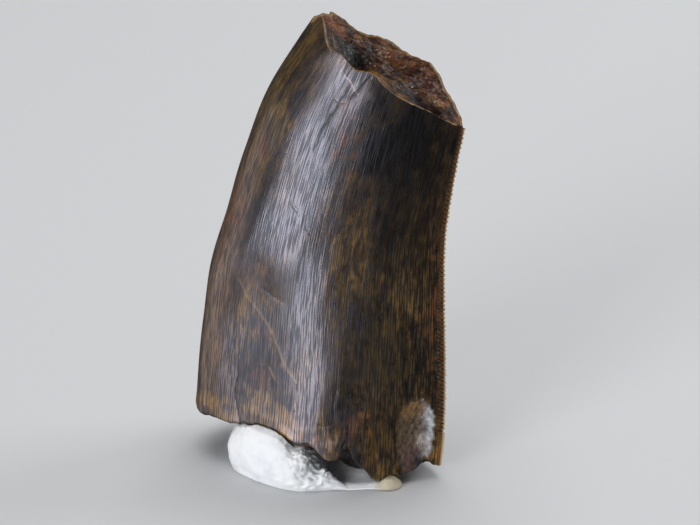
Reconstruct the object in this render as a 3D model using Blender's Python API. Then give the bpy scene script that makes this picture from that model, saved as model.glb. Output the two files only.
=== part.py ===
"""A broken theropod tooth crown that stands in a lump of white putty.

The crown's tip is broken off, which shows its red-brown core, and its root is gone. A row of fine denticles runs down
the distal edge. A second, finer row runs down the lingual side of the mesial edge and fades out halfway.

Sizes and places are in millimetres, and become metres where a mesh is made. +X is distal, towards the long row of
denticles, -Y is the labial face, and +Z is up. The origin is on the surface that the putty rests on.
"""

import math
from collections import namedtuple

import bmesh
import bpy
import numpy as np

MM = 0.001

# The crown's outline seen from its side: x of the mesial and of the distal edge, at every 6 mm of height from -6 on
STATION_START, STATION_STEP = -6.0, 6.0
EDGE_STATIONS = (
    (-12.9, 11.1), (-12.5, 11.5), (-12.1, 11.9), (-11.5, 11.9), (-10.6, 11.8), (-8.9, 11.8),
    (-7.2, 12.6), (-5.0, 13.6), (-1.5, 14.5), (2.4, 15.5), (6.3, 16.5),
)
# Its thickness, which falls by a power of the height, and how far it bows to the lingual side by that height
CROWN_HEIGHT = 44.0
BASE_HALF_THICKNESS = 7.3
TOP_HALF_THICKNESS = 5.0
THICKNESS_POWER = 1.3
LINGUAL_BOW = 1.0
# A section is pinched at the distal edge and round at the mesial one: a power of the way in from each
DISTAL_PINCH = 0.85
MESIAL_ROUND = 0.5
SECTION_PEAK = (
    (DISTAL_PINCH / (DISTAL_PINCH + MESIAL_ROUND)) ** DISTAL_PINCH
    * (MESIAL_ROUND / (DISTAL_PINCH + MESIAL_ROUND)) ** MESIAL_ROUND
)
# A wide hollow low on the labial face: its place across, its spread to each side, the heights between which it fades
# out, and the share of the thickness that it takes
FLUTE_ACROSS = -0.51
FLUTE_SPREAD_DISTAL, FLUTE_SPREAD_MESIAL = 0.46, 0.85
FLUTE_TOP, FLUTE_FULL = 26.0, 13.5
FLUTE_SHARE = 0.28

# A broken face is a tilted plane with lumps and pits on it
Plane = namedtuple("Plane", "level slope_x slope_y")
Lump = namedtuple("Lump", "x y spread_x spread_y height")
TIP_PLANE = Plane(42.25, -0.54, -0.07)
TIP_LUMPS = (
    Lump(0.8, -2.4, 1.2, 2.1, 2.2),  # the highest corner, labial and mesial
    Lump(3.4, -4.4, 1.2, 1.4, 0.9),
    Lump(6.2, -4.2, 1.2, 1.8, 1.1),  # the labial rim, which rises between the two pits
    Lump(3.6, -1.4, 1.3, 1.4, -1.7),  # the black pit near the mesial edge
    Lump(10.0, -0.4, 1.8, 0.9, -1.1),  # the long pit near the distal edge
    Lump(1.6, 6.0, 1.6, 1.6, -1.0),  # the lingual rim, lower towards the mesial edge
    Lump(8.7, 4.6, 2.0, 1.6, 1.1),  # and higher towards the distal one
    Lump(5.4, 2.6, 2.6, 0.7, -0.6),  # the groove along the core
    Lump(13.0, 0.8, 1.1, 1.6, -0.8),  # the distal corner
)
BASE_PLANE = Plane(2.75, -0.15, -0.045)
BASE_LUMPS = (
    Lump(-3.4, -7.4, 3.4, 3.2, 2.1),  # the arch over the putty
    Lump(1.1, -6.6, 1.0, 1.6, 1.1),
    Lump(4.2, -5.4, 0.6, 1.3, 2.2),  # the notch in the labial wall
    Lump(8.6, -2.8, 1.4, 1.4, -0.7),  # the lowest part of the labial wall
    Lump(10.5, -1.5, 0.4, 0.9, 1.3),  # the nick beside the distal edge
    Lump(0.3, 0.4, 6.0, 2.8, 2.6),  # the pulp cavity
    Lump(3.6, -1.8, 2.6, 1.4, -2.6),  # the core, which stands out behind the notch
    Lump(6.8, -4.0, 1.1, 1.2, -1.4),  # the tongue of a splinter, below the rim
    Lump(-4.0, 6.4, 2.2, 2.0, 1.1),  # the lingual rim, which is broken in two bites
    Lump(5.0, 6.0, 1.6, 1.8, 0.8),
    Lump(-11.0, -2.0, 1.6, 3.0, -0.6),  # the mesial corner, which is nearly square
)

# The scar of a flake, on the labial face beside the distal edge: an ellipsoid cuts it, turned to lie along the face
SCAR_CENTRE = (9.8, -3.2, 4.9)
SCAR_HALF_SIZES = (3.4, 1.3, 5.0)
SCAR_TURN = math.radians(44.0)
SCAR_SEGMENTS, SCAR_RINGS = 24, 14

# A carina is a keel that carries denticles. Its flanks start at an angle on either side of its crest
Carina = namedtuple("Carina", "low high count stretch depth tilt")
DISTAL_CARINA = Carina(low=4.6, high=33.9, count=70, stretch=0.1, depth=0.24, tilt=0.08)
MESIAL_CARINA = Carina(low=21.0, high=42.2, count=54, stretch=0.0, depth=0.16, tilt=0.03)
DISTAL_FLANK = math.radians(20.5)
MESIAL_CARINA_ANGLE = math.radians(149.0)
MESIAL_FLANK = math.radians(3.2)
MESIAL_KEEL = 0.2
MESIAL_KEEL_LOW, MESIAL_KEEL_FULL = 9.0, 26.0
# A denticle: where its crest starts and ends along its pitch, and how far out its shoulders stand
CREST_START, CREST_END = 0.3, 0.75
SHOULDER_ALONG = 0.45
SHOULDER_SWELL = 0.08
PLAIN_ROW_STEP = 1.5
LEAST_ROW_STEP = 0.1

# How finely the crown is divided: rows up the wall, columns on each face, cells across a broken face
WALL_ROWS = 20
FACE_COLUMNS = 36
COLUMNS_PAST_KEEL = 3
CAP_CELLS = 11
RIM_PASSES = 12

# The putty: its outline where it rests, then its side as steps in from that outline, each with its share of the height
PUTTY_OUTLINE = (
    (-7.5, -3.0), (-6.8, -5.1), (-4.7, -6.4), (-2.3, -7.2), (0.2, -7.4), (2.4, -6.5), (4.4, -5.5), (6.4, -4.6),
    (8.0, -4.3), (8.6, -3.2), (7.6, -1.4), (7.6, 0.4), (7.4, 2.4), (5.6, 4.2), (2.5, 5.3), (-2.0, 5.5),
    (-6.0, 4.0), (-7.7, 0.6),
)
PUTTY_SIDE = ((-0.35, 0.2), (-0.3, 0.5), (0.1, 0.8), (0.5, 0.95))
PUTTY_SHOULDER = 1.0
PUTTY_CENTRE = (-0.6, -0.8)
# Its top is level, falls away to the distal side down to a thin skirt, and has a lobe and dents on it
PUTTY_HEIGHT = 5.2
PUTTY_FALL_START, PUTTY_FALL, PUTTY_FALL_BEND = -0.6, 0.8, 1.5
PUTTY_SKIRT = 0.4
PUTTY_LUMPS = (
    Lump(7.9, -3.6, 0.8, 0.9, 1.1),  # the lobe at the distal end
    Lump(2.9, -2.0, 2.8, 2.8, -4.2),  # the hollow behind the notch
    Lump(-0.4, -6.8, 0.6, 0.9, -0.9),  # dents from pressing it on
    Lump(1.7, -6.2, 0.5, 0.8, -0.7),
)
PUTTY_AROUND = 54
PUTTY_RINGS = 8
PUTTY_GAP = 0.3

ENAMEL_COLOUR = (0.105, 0.067, 0.034, 1.0)
PUTTY_COLOUR = (0.80, 0.82, 0.83, 1.0)


def spline(points, place):
    """A point of the smooth curve through the points, a Catmull-Rom spline. The place counts in points from the second
    one: the first and the last only steer the curve's ends."""
    index = min(max(int(place), 0), len(points) - 4)
    t = place - index
    a, b, c, d = (np.array(point) for point in points[index : index + 4])
    return 0.5 * (2 * b + (c - a) * t + (2 * a - 5 * b + 4 * c - d) * t**2 + (3 * b - a - 3 * c + d) * t**3)


def bell(distance):
    """A smooth swelling: 1 at no distance, and nearly 0 from 2 spreads on."""
    return math.exp(-(distance**2))


def smooth_step(low, high, value):
    """A smooth rise from 0 at low to 1 at high."""
    t = min(max((value - low) / (high - low), 0.0), 1.0)
    return t * t * (3 - 2 * t)


def wall_point(angle, z):
    """A point of the crown's outer surface. The angle is 0 at the distal edge, pi at the mesial edge, and negative on
    the lingual face."""
    mesial, distal = spline(EDGE_STATIONS, (z - STATION_START) / STATION_STEP - 1)
    rise = max(z, 0.0) / CROWN_HEIGHT
    thick = BASE_HALF_THICKNESS + (TOP_HALF_THICKNESS - BASE_HALF_THICKNESS) * rise**THICKNESS_POWER
    across = math.cos(angle)
    inward = (1 - across) / 2
    depth = thick * inward**DISTAL_PINCH * (1 - inward) ** MESIAL_ROUND / SECTION_PEAK
    if angle > 0:
        spread = FLUTE_SPREAD_DISTAL if across > FLUTE_ACROSS else FLUTE_SPREAD_MESIAL
        depth *= 1 - FLUTE_SHARE * bell((across - FLUTE_ACROSS) / spread) * smooth_step(FLUTE_TOP, FLUTE_FULL, z)
    x = distal - (distal - mesial) * inward
    return np.array((x, LINGUAL_BOW * rise**2 - math.copysign(depth, angle), z))


def broken_height(plane, lumps, x, y):
    """Height of a broken face over the point x, y."""
    height = plane.level + plane.slope_x * x + plane.slope_y * y
    for lump in lumps:
        height += lump.height * bell((x - lump.x) / lump.spread_x) * bell((y - lump.y) / lump.spread_y)
    return height


def tip_height(x, y):
    return broken_height(TIP_PLANE, TIP_LUMPS, x, y)


def base_height(x, y):
    return broken_height(BASE_PLANE, BASE_LUMPS, x, y)


def rim_height(surface, angle, guess):
    """Height at which the wall meets a broken face: each pass takes the face's height over the last pass's point."""
    z = guess
    for _ in range(RIM_PASSES):
        x, y, _ = wall_point(angle, z)
        z = (z + surface(x, y)) / 2
    return z


class Column:
    """A line of points up the wall, from the lower rim to the upper one, and how far up each point is, from 0 to 1."""

    def __init__(self, bm, points, shares):
        self.verts = [bm.verts.new(MM * point) for point in points]
        self.shares = list(shares)


def wall_heights(angle):
    return rim_height(base_height, angle, BASE_PLANE.level), rim_height(tip_height, angle, CROWN_HEIGHT)


def wall_column(bm, angle, shares=tuple(np.linspace(0, 1, WALL_ROWS + 1))):
    low, high = wall_heights(angle)
    return Column(bm, [wall_point(angle, low + (high - low) * share) for share in shares], shares)


def denticle_rows(carina, low, high):
    """Heights of the rows of points along a carina, from rim to rim, and how far the keel stands out at each: 0 in the
    notch between two denticles, and 1 on a crest and where the keel is plain. The denticles grow towards the tip, by
    the carina's stretch."""
    place = np.arange(carina.count + 1) / carina.count
    notches = carina.low + (carina.high - carina.low) * ((1 - carina.stretch) * place + carina.stretch * place**2)
    rows = []
    for start, end in zip(notches[:-1], notches[1:]):
        rows += [(start, 0.0), (start + CREST_START * (end - start), 1.0), (start + CREST_END * (end - start), 1.0)]
    rows.append((notches[-1], 0.0))
    plain = np.linspace(low, carina.low, round((carina.low - low) / PLAIN_ROW_STEP) + 1)[:-1]
    inside = [(z, proud) for z, proud in rows if z < high - LEAST_ROW_STEP]
    return [*((z, 1.0) for z in plain), *inside, (high, 1.0)]


def carina_columns(bm, carina, flank_angles, crest_angle, crest_shift):
    """The five columns of a carina: a flank, a shoulder, the crest, the other shoulder and the other flank. The flanks
    lie on the section, with one point to a denticle. crest_shift gives, from the height and from how far the keel
    stands out, how far the crest is moved off the section."""
    low, high = wall_heights(crest_angle)
    rows = denticle_rows(carina, low, high)
    lines = ([], [], [])
    for z, proud in rows:
        crest = wall_point(crest_angle, z) + crest_shift(z, proud)
        crest[2] += carina.tilt * proud
        flanks = [wall_point(angle, z) for angle in flank_angles]
        outward = crest - (flanks[0] + flanks[1]) / 2
        for line, flank in zip((lines[0], lines[2]), flanks):
            line.append(flank + SHOULDER_ALONG * (crest - flank) + SHOULDER_SWELL * proud * outward)
        lines[1].append(crest)
    keel = [Column(bm, line, [(z - low) / (high - low) for z, _ in rows]) for line in lines]
    feet = [(z - low) / (high - low) for z, proud in rows if proud == 0 or not carina.low < z < carina.high]
    flanks = [wall_column(bm, angle, feet) for angle in flank_angles]
    return [flanks[0], *keel, flanks[1]]


def distal_shift(z, proud):
    """The crests stand on the section's edge, and the notches are cut in from it."""
    return np.array((-DISTAL_CARINA.depth * (1 - proud), 0.0, 0.0))


def mesial_shift(z, proud):
    """A low keel stands out from the lingual face, higher towards the tip, with its denticles on top."""
    full = min(1.0, max(0.0, (z - MESIAL_KEEL_LOW) / (MESIAL_KEEL_FULL - MESIAL_KEEL_LOW)))
    start, end = (wall_point(side * MESIAL_FLANK - MESIAL_CARINA_ANGLE, z) for side in (-1, 1))
    along = end - start
    outward = np.array((-along[1], along[0], 0.0)) / np.hypot(along[0], along[1])
    return outward * full * (MESIAL_KEEL + MESIAL_CARINA.depth * proud)


def face(bm, *verts):
    """A face of the points given, where a point that is given twice counts once."""
    kept = list(dict.fromkeys(verts))
    if len(kept) > 2:
        bm.faces.new(kept)


def join(bm, left, right):
    """Faces between two columns. Each face takes the lower of the two points that come next, so that columns with
    different numbers of points meet without a gap."""
    if len(left.verts) == len(right.verts):
        for row in range(len(left.verts) - 1):
            face(bm, left.verts[row], right.verts[row], right.verts[row + 1], left.verts[row + 1])
        return
    i = j = 0
    while i < len(left.verts) - 1 or j < len(right.verts) - 1:
        next_left = left.shares[i + 1] if i < len(left.verts) - 1 else math.inf
        next_right = right.shares[j + 1] if j < len(right.verts) - 1 else math.inf
        if next_left <= next_right:
            face(bm, left.verts[i], right.verts[j], left.verts[i + 1])
            i += 1
        else:
            face(bm, left.verts[i], right.verts[j], right.verts[j + 1])
            j += 1


def close_end(bm, labial, lingual, distal_end, mesial_end, surface):
    """The broken face inside a rim: rows of points from each labial rim point to its lingual partner."""
    rows = [[distal_end] * (CAP_CELLS + 1)]
    for front, back in zip(labial, lingual):
        row = [front]
        for step in range(1, CAP_CELLS):
            point = front.co.lerp(back.co, step / CAP_CELLS) / MM
            point.z = surface(point.x, point.y)
            row.append(bm.verts.new(MM * point))
        rows.append([*row, back])
    rows.append([mesial_end] * (CAP_CELLS + 1))
    for row, following in zip(rows[:-1], rows[1:]):
        for step in range(CAP_CELLS):
            face(bm, row[step], row[step + 1], following[step + 1], following[step])


def between(start, end, count):
    return np.linspace(start, end, count + 2)[1:-1]


def crown_columns(bm):
    """The columns round the crown: the distal crest, the labial face, the mesial edge and the lingual face."""
    distal = carina_columns(bm, DISTAL_CARINA, (DISTAL_FLANK, -DISTAL_FLANK), 0.0, distal_shift)
    labial = [wall_column(bm, angle) for angle in between(DISTAL_FLANK, math.pi, FACE_COLUMNS)]
    near, far = (MESIAL_CARINA_ANGLE + side * MESIAL_FLANK for side in (-1, 1))
    keel = carina_columns(bm, MESIAL_CARINA, (-near, -far), -MESIAL_CARINA_ANGLE, mesial_shift)
    main = between(DISTAL_FLANK, near, FACE_COLUMNS - len(keel) - COLUMNS_PAST_KEEL)
    past = between(far, math.pi, COLUMNS_PAST_KEEL)
    lingual = [wall_column(bm, -angle) for angle in main] + keel + [wall_column(bm, -angle) for angle in past]
    return distal[2], [*distal[1::-1], *labial], wall_column(bm, math.pi), [*distal[3:], *lingual]


def make_crown():
    bm = bmesh.new()
    distal, labial, mesial, lingual = crown_columns(bm)
    around = [distal, *labial, mesial, *reversed(lingual), distal]
    for left, right in zip(around[:-1], around[1:]):
        join(bm, left, right)
    for end, surface in ((0, base_height), (-1, tip_height)):
        rims = [[column.verts[end] for column in side] for side in (labial, lingual)]
        close_end(bm, *rims, distal.verts[end], mesial.verts[end], surface)
    bmesh.ops.recalc_face_normals(bm, faces=bm.faces)
    return bm


def make_scar_cutter():
    bpy.ops.mesh.primitive_uv_sphere_add(segments=SCAR_SEGMENTS, ring_count=SCAR_RINGS, radius=1.0)
    cutter = bpy.context.object
    cutter.name = "flake_scar_cutter"
    cutter.scale = [MM * size for size in SCAR_HALF_SIZES]
    cutter.location = [MM * place for place in SCAR_CENTRE]
    cutter.rotation_euler = (0.0, 0.0, SCAR_TURN)
    cutter.hide_render = True
    cutter.display_type = "WIRE"
    return cutter


def putty_height(x, y):
    """Top of the putty over x, y, which the crown that stands in it presses down."""
    past = x - PUTTY_FALL_START
    height = max(PUTTY_SKIRT, PUTTY_HEIGHT - PUTTY_FALL * (past + math.hypot(past, PUTTY_FALL_BEND)) / 2)
    for lump in PUTTY_LUMPS:
        height += lump.height * bell((x - lump.x) / lump.spread_x) * bell((y - lump.y) / lump.spread_y)
    return min(max(height, PUTTY_SKIRT), base_height(x, y) - PUTTY_GAP)


def putty_ring(bm, outline, inset, share, height_share):
    """A ring of points: the outline moved inwards by the inset, then drawn to the centre by the share."""
    centre = np.array(PUTTY_CENTRE)
    ring = []
    for point in outline:
        arm = point - centre
        x, y = centre + arm * (1 - inset / np.hypot(*arm)) * (1 - share)
        ring.append(bm.verts.new(MM * np.array((x, y, height_share * putty_height(x, y)))))
    return ring


def make_putty():
    bm = bmesh.new()
    count = len(PUTTY_OUTLINE)
    padded = [PUTTY_OUTLINE[-1], *PUTTY_OUTLINE, *PUTTY_OUTLINE[:2]]
    outline = [spline(padded, i * count / PUTTY_AROUND) for i in range(PUTTY_AROUND)]
    rings = [putty_ring(bm, outline, 0.0, 0.0, 0.0)]
    rings += [putty_ring(bm, outline, inset, 0.0, share) for inset, share in PUTTY_SIDE]
    rings += [putty_ring(bm, outline, PUTTY_SHOULDER, ring / PUTTY_RINGS, 1.0) for ring in range(PUTTY_RINGS)]
    bm.faces.new(rings[0])
    for lower, upper in zip(rings[:-1], rings[1:]):
        for i in range(PUTTY_AROUND):
            j = (i + 1) % PUTTY_AROUND
            face(bm, lower[i], lower[j], upper[j], upper[i])
    top = bm.verts.new(MM * np.array((*PUTTY_CENTRE, putty_height(*PUTTY_CENTRE))))
    for i in range(PUTTY_AROUND):
        face(bm, rings[-1][i], rings[-1][(i + 1) % PUTTY_AROUND], top)
    bmesh.ops.recalc_face_normals(bm, faces=bm.faces)
    return bm


def finish(name, colour, roughness):
    material = bpy.data.materials.new(name)
    material.use_nodes = True
    shader = material.node_tree.nodes["Principled BSDF"]
    shader.inputs["Base Color"].default_value = colour
    shader.inputs["Roughness"].default_value = roughness
    shader.inputs["Metallic"].default_value = 0.0
    return material


def add_object(name, bm, material):
    mesh = bpy.data.meshes.new(name)
    bm.to_mesh(mesh)
    bm.free()
    mesh.materials.append(material)
    mesh.shade_smooth()
    mesh.set_sharp_from_angle(angle=math.radians(40.0))
    obj = bpy.data.objects.new(name, mesh)
    bpy.context.collection.objects.link(obj)
    return obj


def main():
    for obj in list(bpy.data.objects):
        bpy.data.objects.remove(obj)
    tooth = add_object("tooth", make_crown(), finish("brown_enamel", ENAMEL_COLOUR, 0.25))
    scar = tooth.modifiers.new("flake_scar", "BOOLEAN")
    scar.operation = "DIFFERENCE"
    scar.object = make_scar_cutter()
    add_object("putty", make_putty(), finish("white_putty", PUTTY_COLOUR, 0.8))


main()
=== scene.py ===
"""The tooth of a large theropod, its tip broken off, standing in a lump of white putty.

Lengths are in millimetres until a mesh is made. +X is distal, towards the long row of denticles, -Y is the
labial face, which the camera sees, and +Z is up.
"""

import math
from functools import partial

import bpy
import numpy as np
from mathutils import Matrix
from mathutils.geometry import delaunay_2d_cdt


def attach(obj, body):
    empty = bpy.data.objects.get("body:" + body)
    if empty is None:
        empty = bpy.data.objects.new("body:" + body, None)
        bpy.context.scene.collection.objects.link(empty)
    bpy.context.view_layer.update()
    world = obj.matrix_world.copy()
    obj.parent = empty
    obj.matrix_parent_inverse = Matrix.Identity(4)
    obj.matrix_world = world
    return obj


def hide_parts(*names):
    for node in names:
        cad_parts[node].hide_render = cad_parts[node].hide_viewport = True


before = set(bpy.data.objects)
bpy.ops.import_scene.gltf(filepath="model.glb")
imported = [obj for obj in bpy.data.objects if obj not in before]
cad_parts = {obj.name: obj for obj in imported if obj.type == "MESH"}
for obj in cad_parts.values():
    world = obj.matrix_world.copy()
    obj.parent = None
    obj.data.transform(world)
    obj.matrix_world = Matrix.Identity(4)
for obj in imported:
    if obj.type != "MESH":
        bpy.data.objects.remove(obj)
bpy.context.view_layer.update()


# The crown. A fossil tooth is enamel, half a millimetre of it, over dentine, both stained brown by iron and
# turned to hard mineral in the ground. It grew as one piece, curved towards the distal edge, and lost its
# root and its tip.
MM = 0.001
# x of the mesial and of the distal edge, at every 6 mm of height from z = -6 on
STATION_START, STATION_STEP = -6.0, 6.0
EDGE_STATIONS = np.array((
    (-12.9, 11.1), (-12.5, 11.5), (-12.1, 11.9), (-11.5, 11.9), (-10.6, 11.8), (-8.9, 11.8),
    (-7.2, 12.6), (-5.0, 13.6), (-1.5, 14.5), (2.4, 15.5), (6.3, 16.5),
))
CROWN_HEIGHT = 44.0
BASE_HALF_THICKNESS, TOP_HALF_THICKNESS, THICKNESS_POWER = 7.3, 5.0, 1.3
LINGUAL_BOW = 1.0
DISTAL_PINCH, MESIAL_ROUND = 0.85, 0.5
SECTION_PEAK = (
    (DISTAL_PINCH / (DISTAL_PINCH + MESIAL_ROUND)) ** DISTAL_PINCH
    * (MESIAL_ROUND / (DISTAL_PINCH + MESIAL_ROUND)) ** MESIAL_ROUND
)
# The wide hollow low on the labial face
FLUTE_ACROSS, FLUTE_SPREAD_DISTAL, FLUTE_SPREAD_MESIAL = -0.51, 0.46, 0.85
FLUTE_TOP, FLUTE_FULL, FLUTE_SHARE = 26.0, 13.5, 0.28
# The scar of a flake beside the distal edge: an ellipsoid, turned to lie along the face. Its step is crisp
# at the distal side and worn soft at the mesial one, and it is drawn down to the broken edge.
SCAR_CENTRE = np.array((9.8, -3.2, 4.9))
SCAR_HALF_SIZES = np.array((3.4, 1.3, 5.0))
SCAR_TURN = math.radians(44.0)
SCAR_AXES = np.array((
    (math.cos(SCAR_TURN), math.sin(SCAR_TURN), 0),
    (-math.sin(SCAR_TURN), math.cos(SCAR_TURN), 0),
    (0, 0, 1),
))
SCAR_CRISP, SCAR_SOFT = 0.02, 0.3
SCAR_FADE, SCAR_WORN, SCAR_DRAWN_DOWN = 5.0, 0.95, 0.5
# The two broken faces: about where the rim is, level and slopes, how far apart the points that fill it are,
# the depth, size and seed of its scoops, how far they are sunk, and its lumps as x, y, their spreads and
# their height
TIP_BREAK = {
    "rim": CROWN_HEIGHT - 6, "plane": (42.25, -0.54, -0.07), "cell": 0.13,
    "scoops": ((0.34, 1.3, 3), (0.16, 0.5, 4)), "sunk": 0.2,
    "lumps": (
        (0.8, -2.4, 1.2, 2.1, 2.2), (3.4, -4.4, 1.2, 1.4, 0.9), (6.2, -4.2, 1.2, 1.8, 1.1),
        (3.6, -1.4, 1.3, 1.4, -1.7), (10.0, -0.4, 1.8, 0.9, -1.1), (1.6, 6.0, 1.6, 1.6, -1.0),
        (8.7, 4.6, 2.0, 1.6, 1.1), (5.4, 2.6, 2.6, 0.7, -0.6), (13.0, 0.8, 1.1, 1.6, -0.8),
    ),
}
BASE_BREAK = {
    "rim": 2.75, "plane": (2.75, -0.15, -0.045), "cell": 0.24,
    "scoops": ((0.22, 1.1, 5), (0.12, 0.45, 6)), "sunk": 0.1,
    "lumps": (
        (-3.4, -7.4, 3.4, 3.2, 2.1), (1.1, -6.6, 1.0, 1.6, 1.1), (4.2, -5.4, 0.6, 1.3, 2.2),
        (8.6, -2.8, 1.4, 1.4, -0.7), (10.5, -1.5, 0.4, 0.9, 1.3), (0.3, 0.4, 6.0, 2.8, 2.6),
        (3.6, -1.8, 2.6, 1.4, -2.6), (6.8, -4.0, 1.1, 1.2, -1.4), (-4.0, 6.4, 2.2, 2.0, 1.1),
        (5.0, 6.0, 1.6, 1.8, 0.8), (-11.0, -2.0, 1.6, 3.0, -0.6),
    ),
}
RIM_PASSES = 14
WALL_ROWS, ROWS_DENSER_AT_ENDS = 184, 0.3
LABIAL_COLUMNS, LINGUAL_COLUMNS, PAST_KEEL_COLUMNS = 240, 90, 12
# Farther than any distance that counts
FAR = 9.0


def bell(distance):
    """exp(-d squared): 1 at no distance, nearly 0 from 2 spreads on."""
    return np.exp(-np.square(distance))


def mound(x, y, place_x, place_y, spread_x, spread_y, height=1.0):
    """height * bell((x - place in x) / spread in x) * bell((y - place in y) / spread in y)."""
    return height * bell((x - place_x) / spread_x) * bell((y - place_y) / spread_y)


def smooth_step(low, high, value):
    """3 t squared - 2 t cubed, where t runs from 0 at low to 1 at high."""
    t = np.clip((value - low) / (high - low), 0.0, 1.0)
    return t * t * (3 - 2 * t)


def curve_between(a, b, c, d, t):
    """The Catmull-Rom curve from b to c, half of 2b + (c - a) t + (2a - 5b + 4c - d) t^2 +
    (3b - a - 3c + d) t^3."""
    return (2 * b + (c - a) * t + (2 * a - 5 * b + 4 * c - d) * t**2 + (3 * b - a - 3 * c + d) * t**3) / 2


def ripples(points, size, seed, waves=24):
    """A smooth random field, from about -2 to 2: the sum over waves k of sin(w_k . p + f_k) * sqrt(2 /
    waves), with w_k in a random direction and of a wavelength within a factor of 1.6 of the size."""
    random = np.random.default_rng(seed)
    direction = random.normal(size=(points.shape[-1], waves))
    direction /= np.linalg.norm(direction, axis=0)
    wave = direction * 2 * np.pi / (size * 1.6 ** random.uniform(-1, 1, waves))
    return np.sin(points @ wave + random.uniform(0, 2 * np.pi, waves)).sum(-1) * math.sqrt(2 / waves)


def rippled(points, rows):
    """The sum of height * ripples, over rows of height, size and seed."""
    return sum(height * ripples(points, size, seed) for height, size, seed in rows)


def scoops(x, y, size, seed):
    """The shell-shaped scoops of a glassy break: the squared distance to the nearest of a scatter of seed
    points, one in each cell of a square net, over the cell's size squared. It is 0 in the middle of a scoop
    and creased where two scoops meet. The net repeats after 64 cells."""
    cells = 64
    net = np.random.default_rng(seed).uniform(0.05, 0.95, (cells, cells, 2))
    column, row = np.floor(x / size).astype(int), np.floor(y / size).astype(int)
    nearest = np.full(x.shape, FAR)
    for i in (-1, 0, 1):
        for j in (-1, 0, 1):
            spot = net[(column + i) % cells, (row + j) % cells]
            square = (x / size - column - i - spot[..., 0]) ** 2 + (y / size - row - j - spot[..., 1]) ** 2
            nearest = np.minimum(nearest, square)
    return nearest


def broken_face(face, x, y):
    """z = level + slope * x + slope * y + the sum of the lumps + the sum of depth * scoops - sunk."""
    z = face["plane"][0] + face["plane"][1] * x + face["plane"][2] * y
    for lump in face["lumps"]:
        z = z + mound(x, y, *lump)
    for depth, size, seed in face["scoops"]:
        z = z + depth * scoops(x, y, size, seed)
    return z - face["sunk"]


def edge_lines(z):
    """x of the mesial and of the distal edge at z: the curve through the stations about z."""
    place = (z - STATION_START) / STATION_STEP - 1
    index = np.clip(place.astype(int), 0, len(EDGE_STATIONS) - 4)
    both = curve_between(*(EDGE_STATIONS[index + step] for step in range(4)), (place - index)[..., None])
    return both[..., 0], both[..., 1]


def flake_scar(points):
    """Moves the points that lie in the scar's ellipsoid straight in to its far side. a, b and c are a
    point's place along the ellipsoid's axes in its half sizes, b being across the face. There b becomes the
    smooth greater of b and e = sqrt(1 - a^2 - c^2), (b + e + sqrt((b - e)^2 + k^2) - k) / 2, where k grows
    from the crisp side to the soft one. Returns the points and how bare they are: fade * (1 - length of (a,
    b, c)), from -1 to 1, with c halved below the centre, and less where the mesial side is worn."""
    a, b, c = np.moveaxis((points - SCAR_CENTRE) @ SCAR_AXES.T / SCAR_HALF_SIZES, -1, 0)
    inside = a * a + b * b + c * c < 1
    e = np.sqrt(np.clip(1 - a * a - c * c, 0, 1))
    k = SCAR_CRISP + SCAR_SOFT * smooth_step(0.1, -0.9, a)
    deep = np.maximum(b, (b + e + np.sqrt((b - e) ** 2 + k**2) - k) / 2)
    moved = (np.stack((a, np.where(inside, deep, b), c), -1) * SCAR_HALF_SIZES) @ SCAR_AXES + SCAR_CENTRE
    length = np.sqrt(a * a + b * b + np.where(c < 0, SCAR_DRAWN_DOWN * c, c) ** 2)
    bare = np.clip(SCAR_FADE * (1 - length), -1, 1) - SCAR_WORN * smooth_step(0.25, -0.8, a)
    return np.where(inside[..., None], moved, points), bare


def whole_wall(angle, z):
    """The crown's outside before the flake broke off. inward = (1 - cos angle) / 2 runs from 0 at the
    distal edge to 1 at the mesial edge, and x follows it. y = bow -+ thickness * inward^pinch * (1 -
    inward)^round / peak, where the labial face takes the minus and the flute's hollow. A negative angle is
    lingual."""
    angle, z = np.broadcast_arrays(np.asarray(angle, float), np.asarray(z, float))
    mesial, distal = edge_lines(z)
    rise = np.clip(z, 0, None) / CROWN_HEIGHT
    thick = BASE_HALF_THICKNESS + (TOP_HALF_THICKNESS - BASE_HALF_THICKNESS) * rise**THICKNESS_POWER
    across = np.cos(angle)
    inward = (1 - across) / 2
    depth = thick * inward**DISTAL_PINCH * (1 - inward) ** MESIAL_ROUND / SECTION_PEAK
    spread = np.where(across > FLUTE_ACROSS, FLUTE_SPREAD_DISTAL, FLUTE_SPREAD_MESIAL)
    hollow = bell((across - FLUTE_ACROSS) / spread) * smooth_step(FLUTE_TOP, FLUTE_FULL, z)
    depth = depth * np.where(angle > 0, 1 - FLUTE_SHARE * hollow, 1)
    middle = LINGUAL_BOW * rise**2
    return np.stack((distal - (distal - mesial) * inward, middle - np.sign(angle) * depth, z), -1)


def crown_wall(angle, z):
    """The crown's outside with the scar of the flake."""
    return flake_scar(whole_wall(angle, z))[0]


def rim_height(face, angle, guess):
    """z where the wall meets a broken face: z = (z + face(wall(z))) / 2, repeated from a guess."""
    z = np.full(angle.shape, guess)
    for _ in range(RIM_PASSES):
        x, y = np.moveaxis(crown_wall(angle, z)[..., :2], -1, 0)
        z = (z + broken_face(face, x, y)) / 2
    return z


# Round the crown, places are counted as a length of arc at a height of 20 mm, from the distal edge on.
# Patterns use it wrapped on a cylinder of the same girth, so that they have no seam.
ARC_HEIGHT = 20.0
arc_angles = np.linspace(0, np.pi, 2001)
arc_points = crown_wall(-arc_angles, ARC_HEIGHT)
arc_lengths = np.concatenate(((0,), np.cumsum(np.linalg.norm(np.diff(arc_points, axis=0), axis=1))))
HALF_GIRTH = arc_lengths[-1]


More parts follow.
